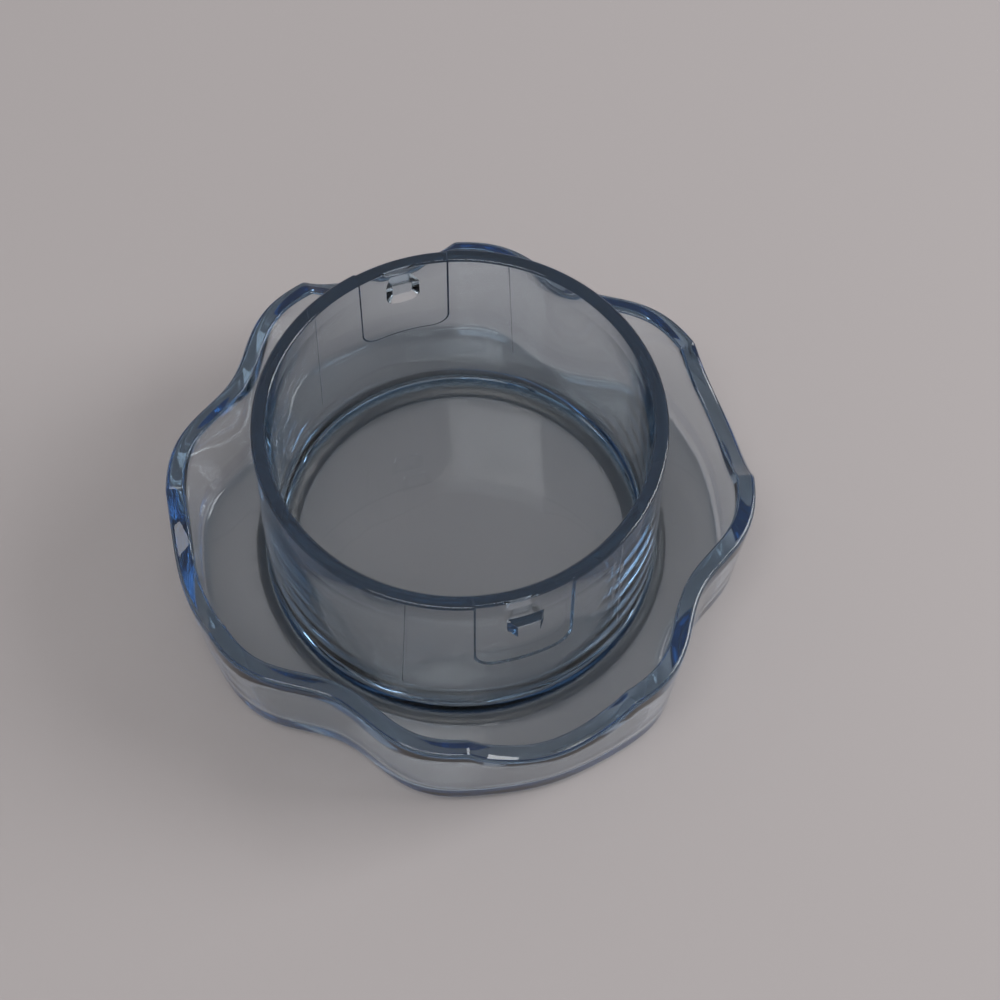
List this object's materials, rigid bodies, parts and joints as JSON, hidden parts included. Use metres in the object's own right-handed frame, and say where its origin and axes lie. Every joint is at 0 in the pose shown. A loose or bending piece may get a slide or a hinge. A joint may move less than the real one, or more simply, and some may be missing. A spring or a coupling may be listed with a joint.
{
  "type": "blender lid plug",
  "caption": "Clear blue filler cap for a blender lid: a round cup-shaped collar with lock nubs, standing inside a wavy lobed grip flange with finger scoops in its rim.",
  "frame": {"origin": "centre of the flat closed face that the cap stands on", "axes": "+Z along the collar's axis towards its open mouth; the two lock nubs lie on the Y axis"},
  "size_m": [0.0736, 0.0736, 0.0316],
  "materials": {
    "clear_blue_plastic": "polished clear moulding with a blue tint, finely frosted on the fillets at the collar's foot"
  },
  "bodies": {
    "root": {"lid_plug": "clear_blue_plastic"}
  },
  "joints": []
}
